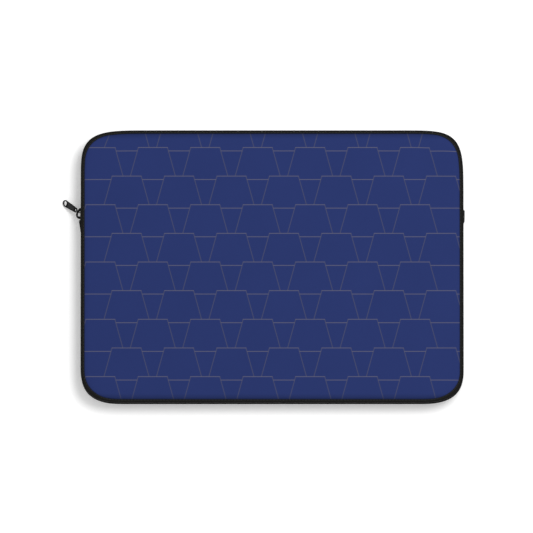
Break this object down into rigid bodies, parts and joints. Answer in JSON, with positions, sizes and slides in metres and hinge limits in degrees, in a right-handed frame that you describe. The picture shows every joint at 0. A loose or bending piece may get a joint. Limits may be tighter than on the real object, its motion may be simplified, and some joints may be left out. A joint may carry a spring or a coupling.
{
  "type": "laptop sleeve",
  "caption": "Padded zip-round laptop sleeve with printed fabric panels, bound edges, a bending mouth flap and a side zip slider with a link and pull tab.",
  "frame": {"origin": "centre of the back panel's outer face, which the sleeve lies on", "axes": "+X to the right along the long side, +Y towards the zipped top edge, +Z out of the front panel"},
  "size_m": [0.3628, 0.246, 0.024],
  "materials": {
    "printed_fabric": "matt woven polyester, navy with thin grey lines",
    "foam": "black sponge foam",
    "lining": "black brushed fleece",
    "binding": "matt black ribbed webbing",
    "zip_tape": "matt black woven tape",
    "zip_nylon": "black nylon coil",
    "black_metal": "satin black paint on die-cast zinc",
    "label": "blank satin ribbon"
  },
  "bodies": {
    "shell": {"back_printed_face": "printed_fabric", "back_foam": "foam", "back_lining": "lining", "back_binding": "binding", "back_seam_tape_bottom_left": "binding", "back_seam_tape_bottom": "binding", "back_seam_tape_bottom_right": "binding", "back_seam_tape_left": "binding", "back_seam_tape_right": "binding", "back_seam_tape_top_left": "binding", "back_seam_tape_top": "binding", "back_seam_tape_top_right": "binding", "front_lower_printed_face": "printed_fabric", "front_lower_foam": "foam", "front_lower_lining": "lining", "front_lower_binding": "binding", "front_lower_seam_tape_bottom_left": "binding", "front_lower_seam_tape_bottom": "binding", "front_lower_seam_tape_bottom_right": "binding", "front_lower_seam_tape_left": "binding", "front_lower_seam_tape_right": "binding", "back_zip_tape": "zip_tape", "back_zip_coil": "zip_nylon", "front_zip_tape_left_end": "zip_tape", "front_zip_tape_right_end": "zip_tape", "front_zip_coil_left_end": "zip_nylon", "front_zip_coil_right_end": "zip_nylon", "bottom_gusset": "binding", "zip_end_tab_left": "binding", "zip_end_tab_right": "binding", "zip_stop_left": "black_metal", "zip_stop_right": "black_metal", "care_label": "label"},
    "flap": {"front_flap_printed_face": "printed_fabric", "front_flap_foam": "foam", "front_flap_lining": "lining", "front_flap_binding": "binding", "front_flap_seam_tape_left": "binding", "front_flap_seam_tape_right": "binding", "front_flap_seam_tape_top_left": "binding", "front_flap_seam_tape_top": "binding", "front_flap_seam_tape_top_right": "binding", "flap_zip_tape": "zip_tape", "flap_zip_coil": "zip_nylon"},
    "slider": {"slider_body": "black_metal"},
    "pull_link": {"pull_link": "black_metal"},
    "pull_tab": {"pull_tab": "black_metal"}
  },
  "joints": [
    {"name": "flap_bend", "type": "hinge", "parent": "shell", "child": "flap", "pos_m": [0, 0.057, 0.024], "axis": [1, 0, 0], "range_deg": [0, 90]},
    {"name": "slider_slide", "type": "slide", "parent": "shell", "child": "slider", "axis": [0, 1, 0], "range_m": [0, 0.04]},
    {"name": "link_tilt", "type": "hinge", "parent": "slider", "child": "pull_link", "pos_m": [-0.175, 0.05035, 0.012], "axis": [0.5764, 0.8171, 0], "range_deg": [-45, 100]},
    {"name": "tab_swing", "type": "hinge", "parent": "pull_link", "child": "pull_tab", "pos_m": [-0.1766, 0.05148, 0.0108], "axis": [-0.427, 0.3012, 0.8526], "range_deg": [-20, 40]}
  ]
}
